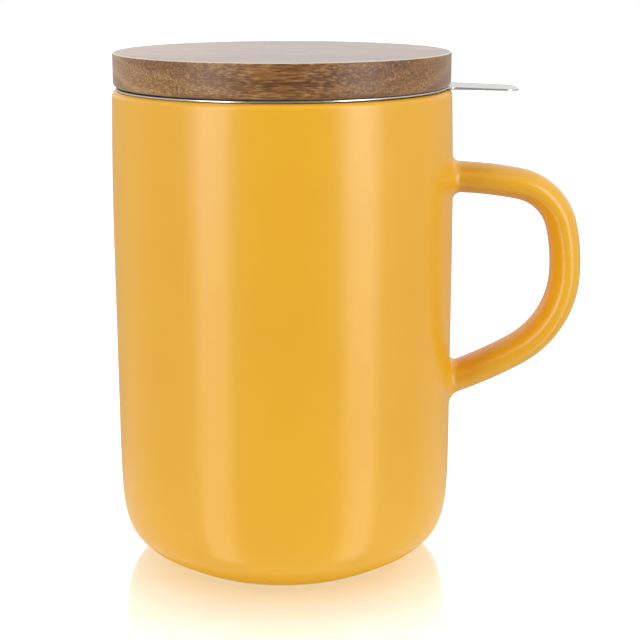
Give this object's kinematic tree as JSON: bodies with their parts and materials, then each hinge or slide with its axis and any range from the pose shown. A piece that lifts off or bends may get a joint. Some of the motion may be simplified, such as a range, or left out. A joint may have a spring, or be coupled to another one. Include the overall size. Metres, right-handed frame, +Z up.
{
  "type": "lidded tea mug with infuser",
  "caption": "Tall stoneware tea mug with a loop handle, a perforated steel infuser basket with a finger tab hung from its lip, and a lift-off wooden lid with a seal ring",
  "frame": {"origin": "On the mug's axis, in the plane its foot ring stands on, at the centre of the mount named foot.", "axes": "+Z is up. +X points from the axis to the handle and to the infuser's tab. +Y completes a right-handed frame."},
  "size_m": [0.1191, 0.086, 0.1296],
  "materials": {
    "glazed_stoneware": "satin matte yellow glaze on stoneware, bare clay on the foot ring",
    "stainless_steel": "polished stainless sheet, pressed and perforated",
    "acacia": "oiled acacia, turned and sanded",
    "silicone": "translucent white silicone, moulded"
  },
  "bodies": {
    "mug": {"mug_body": "glazed_stoneware", "mug_handle": "glazed_stoneware"},
    "infuser": {"infuser_rim": "stainless_steel", "infuser_sleeve": "stainless_steel", "infuser_base": "stainless_steel"},
    "lid": {"lid_disc": "acacia", "lid_plug": "acacia", "lid_seal": "silicone"}
  },
  "joints": [
    {"name": "infuser_lift", "type": "slide", "parent": "mug", "child": "infuser", "axis": [0, 0, 1], "range_m": [0, 0.1]},
    {"name": "lid_lift", "type": "slide", "parent": "infuser", "child": "lid", "axis": [0, 0, 1], "range_m": [0, 0.06]}
  ]
}
